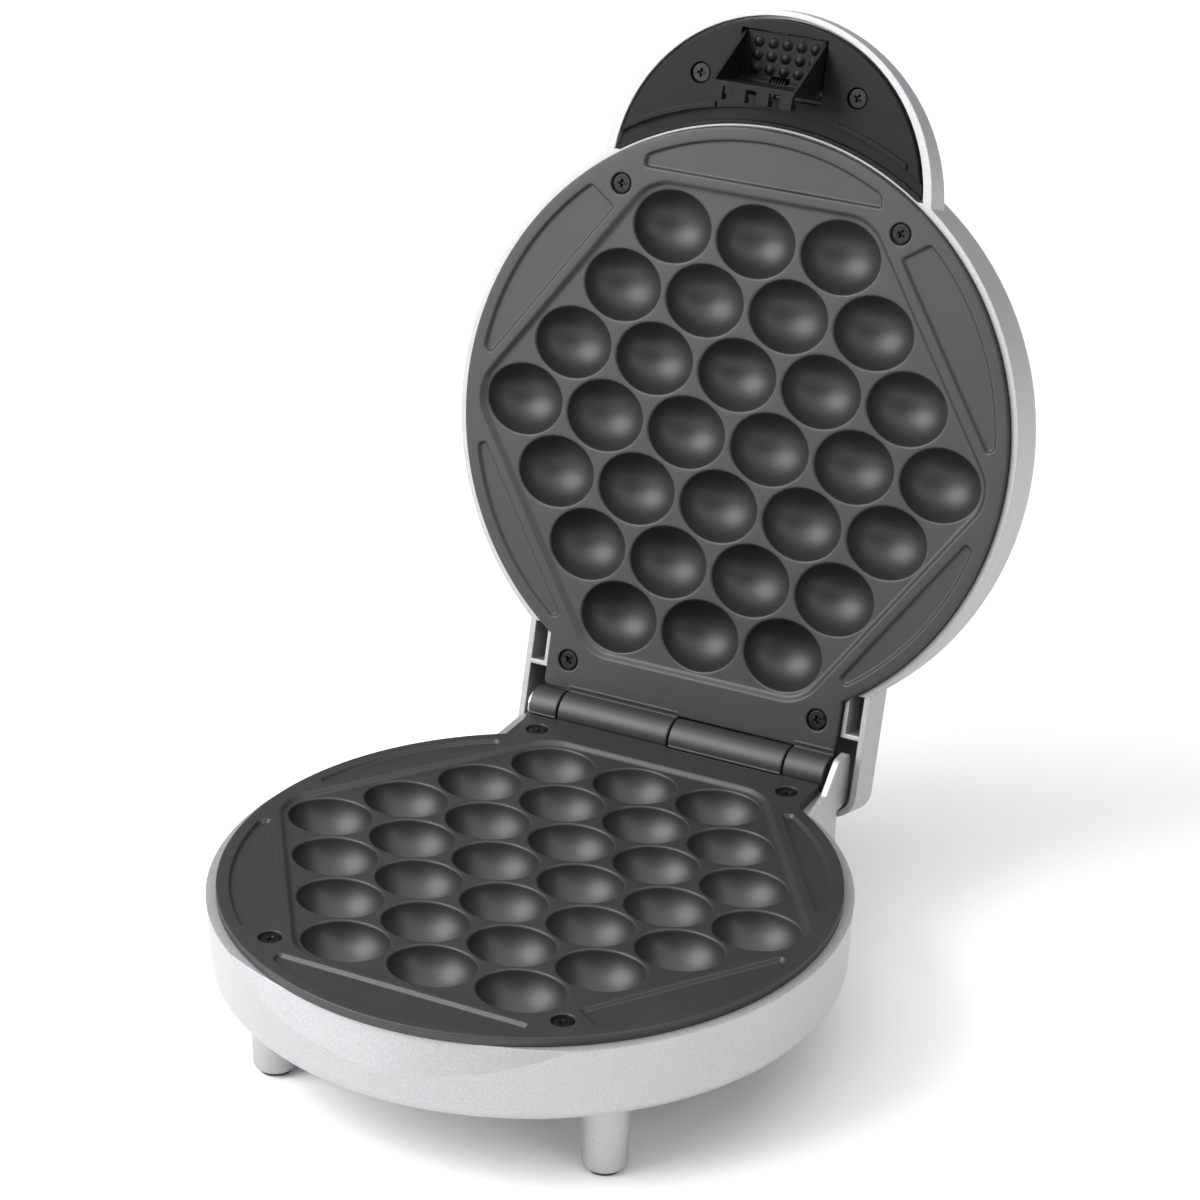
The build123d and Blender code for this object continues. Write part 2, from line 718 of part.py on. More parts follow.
# Rubber pads under the legs
with BuildPart() as base_feet:
    with Locations(*leg_places()):
        Cylinder(PAD_R, PAD, align=(Align.CENTER, Align.CENTER, Align.MIN))
base_feet.part.label = "base_feet"
export_step(base_feet.part, "parts/base_feet.step")

# Hinge pin, headed at its left end
with BuildPart() as hinge_pin:
    with BuildSketch(across(LOWER, BASE_KNUCKLES[0][0])):
        with Locations((HINGE_Y, hinge_z(DOWN))):
            Circle(PIN_R)
    extrude(amount=LID_KNUCKLES[-1][1] - BLIND_END - REBATE_GAP - BASE_KNUCKLES[0][0])
    with BuildSketch(across(LOWER, BASE_KNUCKLES[0][0])):
        with Locations((HINGE_Y, hinge_z(DOWN))):
            Circle(PIN_HEAD_R)
    extrude(amount=-PIN_HEAD)
hinge_pin.part.label = "hinge_pin"
export_step(hinge_pin.part, "parts/hinge_pin.step")

# Grommet in the rear wall, for a cord
with BuildPart() as cord_grommet:
    inlet = (CORD_INLET[0], -CORD_INLET[1])
    add(disc(upright(LOWER, BASE_TAIL_Y), CORD_INLET_R - SEAT_GAP, WALL, inlet))
    add(disc(upright(LOWER, BASE_TAIL_Y), GROMMET_R, -GROMMET, inlet))
    add(disc(upright(LOWER, BASE_TAIL_Y - WALL), GROMMET_R, GROMMET, inlet))
    add(disc(upright(LOWER, BASE_TAIL_Y + GROMMET), CORD_R, WALL + 2 * GROMMET, inlet), mode=Mode.SUBTRACT)
cord_grommet.part.label = "cord_grommet"
export_step(cord_grommet.part, "parts/cord_grommet.step")

# Terminal block on the floor of the base
with BuildPart() as terminal_block:
    with BuildSketch(level(LOWER, WALL - BASE_DEPTH)):
        with Locations((0, BLOCK_Y)):
            Rectangle(BLOCK[0], BLOCK[1])
    extrude(amount=BLOCK[2])
    with BuildSketch(level(LOWER, WALL - BASE_DEPTH + BLOCK[2])):
        with Locations((-BLOCK[0] / 3, BLOCK_Y), (0, BLOCK_Y), (BLOCK[0] / 3, BLOCK_Y)):
            Circle(BLOCK[1] / 5)
    extrude(amount=-BLOCK[2] / 3, mode=Mode.SUBTRACT)
terminal_block.part.label = "terminal_block"
export_step(terminal_block.part, "parts/terminal_block.step")

# Wires of the base: element to terminal block, and thermostat to terminal block
with BuildPart() as lower_leads:
    element_depth = BOSS_DEPTH - ELEMENT_SEAT + ELEMENT_R
    blade_x = THERMOSTAT_CAP_R + BLADE[2]
    blade_depth = BOSS_DEPTH + THERMOSTAT_BODY + THERMOSTAT_CAP - BLADE[1] / 2
    element_end = ELEMENT_END_Y + TERMINAL_LENGTH
    block_front = BLOCK_Y - BLOCK[1] / 2
    for side in (-1, 1):
        pin_x = side * ELEMENT_X
        to_block = [(pin_x, element_end), (pin_x, BLOCK_Y), (side * BLOCK[0] / 2, BLOCK_Y)]
        add(lead(LOWER, DOWN, [(x, y, element_depth) for x, y in to_block]))
        turn_x = side * (blade_x + 2 * LEAD_BEND_R)
        middle = [(turn_x, LATTICE_Y), (turn_x, block_front - 10), (side * BLOCK[0] / 3, block_front - 10)]
        back = [(side * blade_x, LATTICE_Y), *middle, (side * BLOCK[0] / 3, block_front)]
        add(lead(LOWER, DOWN, [(x, y, blade_depth) for x, y in back]))
lower_leads.part.label = "lower_leads"
export_step(lower_leads.part, "parts/lower_leads.step")

# Lid shell: a round bowl with a square tail over the hinge and a round handle
with BuildPart() as lid_shell:
    add(handle_lobe(LOBE_R, 0, LID_BEZEL, LOBE_EDGE_R))
    add(handle_lobe(LOBE_INNER_R, WALL, COVER_FACE + COVER, 1.0), mode=Mode.SUBTRACT)
    add(lid_bowl(0, LID_BEZEL))
    add(lid_tail(0, LID_TAIL_START, LID_BEZEL))
    ledge_top = FLANGE + LID_LEDGE
    add(lid_bowl(WALL, ledge_top), mode=Mode.SUBTRACT)
    add(lid_tail(WALL, LID_TAIL_START, ledge_top), mode=Mode.SUBTRACT)
    add(lid_tail(WALL, FRAME_Y[0], LID_BEZEL), mode=Mode.SUBTRACT)
    add(disc(level(UPPER, LID_BEZEL), LEDGE_R, LID_LEDGE + FLANGE - LID_BEZEL), mode=Mode.SUBTRACT)

    with BuildSketch(level(UPPER, LID_BEZEL)):
        for side in (-1, 1):
            with Locations((side * (FRAME_X + FRAME_WALL / 2), FRAME_Y[0])):
                Rectangle(FRAME_WALL, FRAME_Y[1] + FRAME_WALL - FRAME_Y[0], align=(Align.CENTER, Align.MIN))
            with Locations((side * (FRAME_X + LID_TAIL_X - WALL / 2) / 2, FRAME_Y[1])):
                Rectangle(LID_TAIL_X - WALL / 2 - FRAME_X, FRAME_WALL, align=(Align.CENTER, Align.MIN))
    extrude(amount=FRAME_DEPTH)
    add(disc(level(UPPER, LID_BEZEL), PLATE_R + REBATE_GAP, FLANGE - LID_BEZEL), mode=Mode.SUBTRACT)

    with BuildSketch(level(UPPER, FLANGE)):
        with Locations(*both_sides(FRONT_SCREWS)):
            Circle(SCREW_POST_R)
    extrude(amount=LID_TOP - WALL / 2 - FLANGE)
    with BuildSketch(level(UPPER, FLANGE)):
        with Locations(*both_sides(REAR_SCREWS)):
            Circle(SCREW_POST_R)
    extrude(amount=LID_TAIL_TOP - WALL / 2 - FLANGE)
    with BuildSketch(level(UPPER, FLANGE)):
        with Locations(*plate_screw_places()):
            Circle(SCREW_R + SEAT_GAP)
    extrude(amount=SCREW_LENGTH, mode=Mode.SUBTRACT)

    with BuildSketch(level(UPPER, COVER_FACE + COVER)):
        with Locations(*both_sides(HANDLE_SCREWS)):
            Circle(SCREW_POST_R)
    extrude(amount=lobe_height(HANDLE_SCREWS[1]) - WALL / 2 - COVER_FACE - COVER)
    with BuildSketch(level(UPPER, COVER_FACE + COVER)):
        with Locations(*both_sides(HANDLE_SCREWS)):
            Circle(SCREW_R + SEAT_GAP)
    extrude(amount=HANDLE_SCREW_LENGTH - COVER / 2, mode=Mode.SUBTRACT)
    with BuildSketch(level(UPPER, LID_BEZEL)):
        with Locations((0, COVER_Y)):
            Circle(COVER_R)
        Circle(CHANNEL_R[0], mode=Mode.SUBTRACT)
        with Locations((0, 0)):
            Rectangle(2 * LID_R, LID_R, align=(Align.CENTER, Align.MIN), mode=Mode.SUBTRACT)
    extrude(amount=COVER_FACE + COVER - LID_BEZEL, mode=Mode.SUBTRACT)

    with BuildSketch(level(UPPER, flange_top() - LENS_FLANGE)):
        with Locations(*both_sides((HOLDER_POST_X, LENS_Y))):
            Circle(HOLDER_POST_R)
    extrude(amount=LID_TOP - WALL / 2 - flange_top() + LENS_FLANGE)
    with BuildSketch(level(UPPER, flange_top() - LENS_FLANGE)):
        with Locations(*both_sides((HOLDER_POST_X, LENS_Y))):
            Circle(PEG_R)
    extrude(amount=-HOLDER[2])
    with BuildSketch(level(UPPER, flange_top())):
        with Locations(*both_sides((LENS_X, LENS_Y))):
            Circle(LENS_R + SEAT_GAP)
    extrude(amount=LID_TOP, mode=Mode.SUBTRACT)
lid_shell.part.label = "lid_shell"
export_step(lid_shell.part, "parts/lid_shell.step")

# Cover of the handle's underside, with an opening for the latch
with BuildPart() as handle_cover:
    with BuildSketch(level(UPPER, COVER_FACE + COVER)):
        with Locations((0, COVER_Y)):
            Circle(COVER_R - REBATE_GAP)
        Circle(CHANNEL_R[0] + REBATE_GAP, mode=Mode.SUBTRACT)
        Rectangle(2 * LID_R, LID_R, align=(Align.CENTER, Align.MIN), mode=Mode.SUBTRACT)
    extrude(amount=-COVER)
    with BuildSketch(level(UPPER, COVER_FACE)):
        Circle(RIB_R[1])
        Circle(RIB_R[0], mode=Mode.SUBTRACT)
        with Locations((0, -LID_R)):
            Rectangle(2 * RIB_X, LID_R, mode=Mode.INTERSECT)
        with Locations(((RIB_BREAK[0] + RIB_BREAK[1]) / 2, -LID_R)):
            Rectangle(RIB_BREAK[1] - RIB_BREAK[0], LID_R, mode=Mode.SUBTRACT)
    extrude(amount=-RIB)
    add(disc(level(UPPER, 0), CHANNEL_R[1], CHANNEL_FACE), mode=Mode.SUBTRACT)
    opening_front = LATCH_FRONT_Y - 0.5
    opening_back = LATCH_PIVOT[0] + LATCH_HUB_R + 1.3
    with BuildSketch(level(UPPER, 0)):
        with Locations((0, opening_front)):
            width = 2 * (LATCH_X + LATCH_SIDE_GAP)
            Rectangle(width, opening_back - opening_front, align=(Align.CENTER, Align.MIN))
    extrude(amount=2 * COVER, mode=Mode.SUBTRACT)
    with BuildSketch(across(UPPER, -LATCH_PIN_X)):
        with Locations(LATCH_PIVOT):
            Circle(LATCH_PIN_R + SEAT_GAP)
    extrude(amount=2 * LATCH_PIN_X, mode=Mode.SUBTRACT)
    with BuildSketch(level(UPPER, COVER_FACE)):
        with Locations(*both_sides(HANDLE_SCREWS)):
            Circle(SCREW_HEAD_R + RUNNING_GAP)
    extrude(amount=COVER / 2, mode=Mode.SUBTRACT)
    with BuildSketch(level(UPPER, COVER_FACE)):
        with Locations(*both_sides(HANDLE_SCREWS)):
            Circle(SCREW_R + SEAT_GAP)
    extrude(amount=COVER, mode=Mode.SUBTRACT)
handle_cover.part.label = "handle_cover"
export_step(handle_cover.part, "parts/handle_cover.step")

# Two screws of the handle's cover
with BuildPart() as handle_screws:
    add(screws(level(UPPER, COVER_FACE + COVER / 2), both_sides(HANDLE_SCREWS), HANDLE_SCREW_LENGTH, DOWN))
handle_screws.part.label = "handle_screws"
export_step(handle_screws.part, "parts/handle_screws.step")

# Latch: a pad of raised dots to press, and a plate with four hooked teeth
with BuildPart() as latch:
    with BuildSketch(across(UPPER, -LATCH_X)):
        with Locations(LATCH_PIVOT):
            Circle(LATCH_HUB_R)
        with Locations((LATCH_FRONT_Y, LATCH_PAD[0])):
            pad_length = LATCH_PIVOT[0] - LATCH_FRONT_Y
            Rectangle(pad_length, LATCH_PAD[1] - LATCH_PAD[0], align=(Align.MIN, Align.MIN))
        with Locations((LATCH_PIVOT[0], -HOOK_DEPTH)):
            Rectangle(HOOK_WALL, HOOK_DEPTH + LATCH_PIVOT[1], align=(Align.CENTER, Align.MIN))
    extrude(amount=2 * LATCH_X)
    for side in (-LATCH_X, LATCH_X - GUSSET):
        with BuildSketch(across(UPPER, side)):
            corner = (LATCH_FRONT_Y, LATCH_PAD[0])
            Polygon(corner, (LATCH_PIVOT[0], LATCH_PAD[0]), (LATCH_PIVOT[0], -HOOK_DEPTH), align=None)
        extrude(amount=GUSSET)
    for number in range(4):
        with BuildSketch(across(UPPER, (number - 1.5) * TOOTH_PITCH - TOOTH_WIDTH / 2)):
            with Locations((TOOTH_Y, -HOOK_DEPTH)):
                Rectangle(TOOTH_Y - LATCH_PIVOT[0], TOOTH, align=(Align.MAX, Align.MIN))
                Rectangle(BARB, TOOTH + BARB_RISE, align=(Align.MAX, Align.MIN))
        extrude(amount=TOOTH_WIDTH)
    ball_r = (DOT_R**2 + DOT_HEIGHT**2) / (2 * DOT_HEIGHT)
    dots = [(col * DOT_PITCH[0], row * DOT_PITCH[1]) for col in range(-2, 3) for row in range(-1, 2)]
    with Locations(*[
        UPPER.location * Pos(DOT_CENTRE[0] + x, DOT_CENTRE[1] + y, LATCH_PAD[0] - DOT_HEIGHT + ball_r) for x, y in dots
    ]):
        add(dot(ball_r))
    with BuildSketch(across(UPPER, -LATCH_X)):
        with Locations(LATCH_PIVOT):
            Circle(LATCH_PIN_R + SEAT_GAP)
    extrude(amount=2 * LATCH_X, mode=Mode.SUBTRACT)
    spring_half = (SPRING_TURNS * SPRING_PITCH) / 2 + SPRING_WIRE_R + RUNNING_GAP
    with BuildSketch(across(UPPER, -spring_half)):
        with Locations(LATCH_PIVOT):
            Circle(SPRING_R + SPRING_WIRE_R + RUNNING_GAP)
    extrude(amount=2 * spring_half, mode=Mode.SUBTRACT)
latch.part.label = "latch"
export_step(latch.part, "parts/latch.step")

# Pin that the latch turns on, held in the cover
with BuildPart() as latch_pin:
    with BuildSketch(across(UPPER, REBATE_GAP - LATCH_PIN_X)):
        with Locations(LATCH_PIVOT):
            Circle(LATCH_PIN_R)
    extrude(amount=2 * (LATCH_PIN_X - REBATE_GAP))
latch_pin.part.label = "latch_pin"
export_step(latch_pin.part, "parts/latch_pin.step")

# Torsion spring round the pin, with the leg that rests on the cover
with BuildPart() as latch_spring:
    spring_length = SPRING_TURNS * SPRING_PITCH
    turned = across(UPPER, -spring_length / 2).location * Pos(*LATCH_PIVOT, 0) * Rot(0, 0, 90)
    coil = turned * Helix(SPRING_PITCH, spring_length, SPRING_R)
    with BuildSketch(Plane(coil @ 0, z_dir=coil % 0)):
        Circle(SPRING_WIRE_R)
    sweep(path=coil, is_frenet=True)
    with BuildSketch(upright(UPPER, LATCH_PIVOT[0] - SPRING_WIRE_R)):
        with Locations((-spring_length / 2, LATCH_PIVOT[1] + SPRING_R)):
            Circle(SPRING_WIRE_R)
    extrude(amount=-2 * LATCH_HUB_R - 2)
latch_spring.part.label = "latch_spring"
export_step(latch_spring.part, "parts/latch_spring.step")

# Lenses of the two indicator lamps, and the bar that holds them
with BuildPart() as power_lens:
    add(lens(-LENS_X))
power_lens.part.label = "power_lens"
export_step(power_lens.part, "parts/power_lens.step")

with BuildPart() as ready_lens:
    add(lens(LENS_X))
ready_lens.part.label = "ready_lens"
export_step(ready_lens.part, "parts/ready_lens.step")

with BuildPart() as lamp_holder:
    with BuildSketch(level(UPPER, flange_top() - LENS_FLANGE)):
        with Locations((0, LENS_Y)):
            Rectangle(HOLDER[0], HOLDER[1])
        with Locations(*both_sides((HOLDER_POST_X, LENS_Y))):
            Circle(PEG_R + SEAT_GAP, mode=Mode.SUBTRACT)
    extrude(amount=-HOLDER[2])
lamp_holder.part.label = "lamp_holder"
export_step(lamp_holder.part, "parts/lamp_holder.step")

# Wires of the lid: element, thermal fuse and lamps, down to the hinge
with BuildPart() as upper_leads:
    wire_end = (element_end, 8.0)
    for side in (-1, 1):
        turn = (side * ELEMENT_X, element_end + 1.5 * LEAD_BEND_R)
        pin = (side * ELEMENT_X, element_end, element_depth)
        add(lead(UPPER, UP, [pin, (*turn, element_depth), (*turn, wire_end[1])]))
        fuse_end = (side * FUSE_LENGTH / 2, LATTICE_Y, BOSS_DEPTH + FUSE_R)
        corner = (side * LEAD_X, LATTICE_Y)
        along = [(*corner, LEAD_DEPTH), (side * LEAD_X, wire_end[0], LEAD_DEPTH), (side * LEAD_X, *wire_end)]
        add(lead(UPPER, UP, [fuse_end, (*corner, BOSS_DEPTH + FUSE_R), *along]))
        lamp_x = side * HOLDER[1] / 2
        lamp_depth = flange_top() - LENS_FLANGE - HOLDER[2] / 2
        lamp_start = (lamp_x, LENS_Y + HOLDER[1] / 2, lamp_depth)
        add(lead(UPPER, UP, [lamp_start, (lamp_x, wire_end[0], lamp_depth), (lamp_x, *wire_end)]))
upper_leads.part.label = "upper_leads"
export_step(upper_leads.part, "parts/upper_leads.step")
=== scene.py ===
# Bubble waffle maker, standing open: finishes, finer pieces, light and camera around the CAD frame.
import json
from math import atan2, cos, hypot, pi, radians, sin, sqrt, tan

import bmesh
import bpy
from mathutils import Matrix, Vector


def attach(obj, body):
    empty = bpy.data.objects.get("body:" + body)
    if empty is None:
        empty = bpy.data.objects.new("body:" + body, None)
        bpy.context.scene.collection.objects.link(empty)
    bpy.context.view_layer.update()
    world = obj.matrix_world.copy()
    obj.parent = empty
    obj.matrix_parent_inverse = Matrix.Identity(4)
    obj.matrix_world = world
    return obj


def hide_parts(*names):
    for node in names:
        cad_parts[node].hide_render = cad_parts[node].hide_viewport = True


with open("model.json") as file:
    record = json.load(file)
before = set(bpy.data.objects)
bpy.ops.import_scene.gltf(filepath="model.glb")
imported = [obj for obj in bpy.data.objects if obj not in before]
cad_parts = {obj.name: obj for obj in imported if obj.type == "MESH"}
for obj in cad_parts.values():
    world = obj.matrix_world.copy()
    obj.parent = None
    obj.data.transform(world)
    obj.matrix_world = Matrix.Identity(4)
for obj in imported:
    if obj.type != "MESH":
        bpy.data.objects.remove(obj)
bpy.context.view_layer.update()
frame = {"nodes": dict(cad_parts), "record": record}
NODES = frame["nodes"]

# The sizes of pieces are in millimetres, and this turns them into metres
MM = 0.001


# Shader maths
class Value:
    """A number or colour that changes over a surface. Numbers can be used in expressions."""

    def __init__(self, finish, socket):
        self.finish = finish
        self.socket = socket

    def math(self, operation, first, second):
        return self.finish.node("ShaderNodeMath", {"operation": operation}, {0: first, 1: second})

    def __add__(self, other):
        return self.math("ADD", self, other)

    def __radd__(self, other):
        return self.math("ADD", other, self)

    def __mul__(self, other):
        return self.math("MULTIPLY", self, other)

    def __rmul__(self, other):
        return self.math("MULTIPLY", other, self)


BEVEL_SAMPLES = 6


class Finish:
    """A procedural material. Its shader's fixed sockets are set when it is made."""

    def __init__(self, name, fixed):
        self.material = bpy.data.materials.new(name)
        self.material.use_nodes = True
        self.tree = self.material.node_tree
        self.shader = self.tree.nodes["Principled BSDF"]
        for socket, value in fixed.items():
            self.shader.inputs[socket].default_value = value
        self.place = self.node("ShaderNodeTexCoord", {}, {}, "Object")

    def node(self, kind, settings, sockets, output=0):
        """Adds a node, with its settings first and then its sockets, and gives one output."""
        made = self.tree.nodes.new(kind)
        for name, value in settings.items():
            setattr(made, name, value)
        for name, value in sockets.items():
            if isinstance(value, Value):
                self.tree.links.new(value.socket, made.inputs[name])
            else:
                made.inputs[name].default_value = value
        return Value(self, made.outputs[output])

    def feed(self, socket, value):
        self.tree.links.new(value.socket, self.shader.inputs[socket])

    def noise(self, scale, detail=2.0):
        sockets = {"Vector": self.place, "Scale": scale, "Detail": detail}
        return self.node("ShaderNodeTexNoise", {}, sockets, "Fac")

    def cells(self, scale):
        return self.node("ShaderNodeTexVoronoi", {}, {"Vector": self.place, "Scale": scale}, "Color")

    def blend(self, share, dark, light):
        """Goes from the dark colour to the light one. The node's colour sockets go by number."""
        return self.node("ShaderNodeMix", {"data_type": "RGBA"}, {0: share, 6: dark, 7: light}, 2)

    def brightness(self, colour):
        return self.node("ShaderNodeSeparateColor", {}, {0: colour}, 0)

    def relief(self, height, depth, edge_r):
        """Small relief, on a surface whose sharp edges are softened to this radius."""
        soft_edges = self.node("ShaderNodeBevel", {"samples": BEVEL_SAMPLES}, {"Radius": edge_r * MM})
        sockets = {"Height": height, "Distance": depth * MM, "Strength": 1.0, "Normal": soft_edges}
        self.feed("Normal", self.node("ShaderNodeBump", {}, sockets))


def silver_paint():
    """Metallic paint with fine flakes and the faint orange peel of sprayed plastic."""
    paint = Finish("silver_paint", {"Metallic": 0.65, "Coat Weight": 0.15, "Coat Roughness": 0.3})
    flakes = paint.brightness(paint.cells(scale=3200.0))
    cloud = paint.noise(scale=18.0, detail=3.0)
    peel = paint.noise(scale=900.0)
    dark, light = (0.34, 0.345, 0.355, 1), (0.53, 0.535, 0.545, 1)
    paint.feed("Base Color", paint.blend(flakes * 0.55 + cloud * 0.3, dark, light))
    paint.feed("Roughness", 0.42 + flakes * 0.1 + cloud * 0.06)
    paint.relief(peel * 0.7 + flakes * 0.3, depth=0.02, edge_r=0.6)
    return paint.material


def plate_coating():
    """Charcoal non-stick coating over cast aluminium, a little uneven in gloss."""
    coating = Finish("plate_coating", {"IOR": 1.6})
    cloud = coating.noise(scale=45.0, detail=4.0)
    grain = coating.noise(scale=1400.0)
    dark, light = (0.010, 0.010, 0.011, 1), (0.018, 0.018, 0.0195, 1)
    coating.feed("Base Color", coating.blend(cloud * 0.7 + grain * 0.3, dark, light))
    coating.feed("Roughness", 0.39 + cloud * 0.1 + grain * 0.06)
    coating.relief(grain, depth=0.025, edge_r=0.7)
    return coating.material


def black_plastic():
    """Moulded black plastic with a fine spark-eroded grain."""
    plastic = Finish("black_plastic", {"IOR": 1.27})
    grain = plastic.noise(scale=2200.0)
    cloud = plastic.noise(scale=60.0, detail=3.0)
    plastic.feed("Base Color", plastic.blend(cloud, (0.004, 0.004, 0.0045, 1), (0.008, 0.008, 0.0085, 1)))
    plastic.feed("Roughness", 0.34 + grain * 0.12)
    plastic.relief(grain, depth=0.02, edge_r=0.4)
    return plastic.material


def steel(name, dark, light, rough):
    """Bare or coated metal with fine streaks in its colour and gloss."""
    metal = Finish(name, {"Metallic": 1.0})
    streaks = metal.noise(scale=700.0, detail=3.0)
    metal.feed("Base Color", metal.blend(streaks, dark, light))
    metal.feed("Roughness", rough + streaks * 0.12)
    metal.relief(streaks, depth=0.01, edge_r=0.2)
    return metal.material


def moulded(name, dark, light, rough):
    """A moulded piece of one colour, a little cloudy, with a fine grain."""
    solid = Finish(name, {})
    grain = solid.noise(scale=1200.0)
    cloud = solid.noise(scale=70.0, detail=3.0)
    solid.feed("Base Color", solid.blend(cloud, dark, light))
    solid.feed("Roughness", rough + grain * 0.15)
    solid.relief(grain, depth=0.02, edge_r=0.3)
    return solid.material


FINISHES = {
    "silver_paint": silver_paint(),
    "coated_plate": plate_coating(),
    "black_plastic": black_plastic(),
    "dark_screw": steel("dark_screw", (0.018, 0.018, 0.019, 1), (0.045, 0.045, 0.048, 1), rough=0.3),
    "zinc_steel": steel("zinc_steel", (0.5, 0.5, 0.49, 1), (0.68, 0.68, 0.66, 1), rough=0.28),
    "element_sheath": steel("element_sheath", (0.2, 0.19, 0.17, 1), (0.36, 0.34, 0.31, 1), rough=0.35),
    "reflector_sheet": steel("reflector_sheet", (0.66, 0.66, 0.67, 1), (0.8, 0.8, 0.81, 1), rough=0.25),
    "pad_rubber": moulded("pad_rubber", (0.025, 0.026, 0.03, 1), (0.045, 0.047, 0.052, 1), rough=0.6),
    "ceramic": moulded("ceramic", (0.7, 0.67, 0.6, 1), (0.82, 0.79, 0.72, 1), rough=0.45),
    "lead_cover": moulded("lead_cover", (0.58, 0.58, 0.56, 1), (0.72, 0.72, 0.7, 1), rough=0.5),
    "red_lens": moulded("red_lens", (0.4, 0.01, 0.008, 1), (0.6, 0.02, 0.015, 1), rough=0.12),
    "green_lens": moulded("green_lens", (0.02, 0.32, 0.05, 1), (0.03, 0.45, 0.08, 1), rough=0.12),
}
BLUED_SPRING = steel("blued_spring", (0.015, 0.015, 0.017, 1), (0.035, 0.035, 0.04, 1), rough=0.35)

for part in frame["record"]["subparts"]:
    node = NODES[part["node"]]
    node.data.materials.clear()
    node.data.materials.append(FINISHES[part["material_slot"]])
NODES["latch_spring"].data.materials[0] = BLUED_SPRING

# Tools of the bench
SHARP_EDGE = 0.6
SMOOTH_ANGLE = 35
SAME_LEVEL = 0.002
MANY_SIDES = 12


def start():
    """Leaves edit mode with nothing selected."""
    if bpy.context.object and bpy.context.object.mode == "EDIT":
        bpy.ops.object.mode_set(mode="OBJECT")
    bpy.ops.object.select_all(action="DESELECT")


def chosen(piece):
    """Makes this the one piece that the next tool works on."""
    start()
    bpy.context.view_layer.objects.active = piece
    piece.select_set(True)


def edit(piece):
    """Opens a piece in edit mode, selected all over."""
    chosen(piece)
    bpy.ops.object.mode_set(mode="EDIT")
    bpy.ops.mesh.select_all(action="SELECT")


def pick(piece, kind, test):
    """Selects the vertices, edges or faces that pass the test."""
    mesh = bmesh.from_edit_mesh(piece.data)
    bpy.ops.mesh.select_mode(type=kind)
    bpy.ops.mesh.select_all(action="DESELECT")
    for part in {"FACE": mesh.faces, "EDGE": mesh.edges, "VERT": mesh.verts}[kind]:
        part.select = test(part)
    mesh.select_flush_mode()
    bmesh.update_edit_mesh(piece.data)


def settled(piece):
    """Leaves the object at the origin, with its place in its mesh."""
    chosen(piece)
    bpy.ops.object.transform_apply(location=True, rotation=True, scale=True)
    return piece


def joined(pieces, name):
    """Joins all the pieces to the first, under this name."""
    start()
    for piece in pieces:
        piece.select_set(True)
    bpy.context.view_layer.objects.active = pieces[0]
    bpy.ops.object.join()
    pieces[0].name = name
    return pieces[0]


def placed(piece, turn):
    """Moves the mesh itself by a matrix."""
    start()
    piece.data.transform(turn)
    if turn.determinant() < 0:
        piece.data.flip_normals()
    return piece


def copied(piece, turn):
    """A copy with a mesh of its own, moved by a matrix."""
    twin = piece.copy()
    twin.data = piece.data.copy()
    bpy.context.scene.collection.objects.link(twin)
    return placed(twin, turn)


def shift(x, y, z=0.0):
    return Matrix.Translation((x * MM, y * MM, z * MM))


def cylinder(radius, depth, centre, sides, turn=(0, 0, 0)):
    bpy.ops.mesh.primitive_cylinder_add(
        vertices=sides, radius=radius * MM, depth=depth * MM, location=Vector(centre) * MM, rotation=turn)
    return settled(bpy.context.object)


def bevelled(piece, width, test, segments=3):
    """Rounds the edges that pass the test."""
    edit(piece)
    pick(piece, "EDGE", test)
    bpy.ops.mesh.bevel(offset=width * MM, segments=segments)
    start()
    return piece


def sharp(limit=SHARP_EDGE):
    """Edges whose two faces turn by more than this, in radians."""
    return lambda edge: len(edge.link_faces) == 2 and edge.calc_face_angle(0) > limit


def rim_at(height):
    """Open edges that lie at this height."""
    level = height * MM
    return lambda edge: len(edge.link_faces) < 2 and all(
        abs(v.co.z - level) < SAME_LEVEL * MM for v in edge.verts)


def big(face):
    """The one face of many sides that a step is made from."""
    return len(face.verts) > MANY_SIDES


def stepped(piece, steps):
    """Insets the big face by each step's width, and lowers it by its depth."""
    for width, depth in steps:
        pick(piece, "FACE", big)
        bpy.ops.mesh.inset(thickness=width * MM, depth=-depth * MM)


def raised(height):
    """Extrudes what is selected upwards, or down where the height is negative."""
    bpy.ops.mesh.extrude_region_move(TRANSFORM_OT_translate={"value": (0, 0, height * MM)})


def smooth(piece):
    """Shades a piece smooth, apart from its sharper edges."""
    chosen(piece)
    bpy.ops.object.shade_smooth_by_angle(angle=radians(SMOOTH_ANGLE))


def flat_faced(piece):
    """Lets the large flat faces of the chosen piece set the shading along their soft edges."""
    modifier = piece.modifiers.new("flat", "WEIGHTED_NORMAL")
    modifier.weight = 100
    modifier.keep_sharp = True
    bpy.ops.object.modifier_apply(modifier=modifier.name)


def mounted(piece, body, slot, nodes):
    """Hands a finished piece to its body, its finish and the CAD nodes that it stands for."""
    smooth(piece)
    flat_faced(piece)
    piece.data.materials.clear()
    piece.data.materials.append(FINISHES[slot])
    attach(piece, body)
    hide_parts(*nodes)


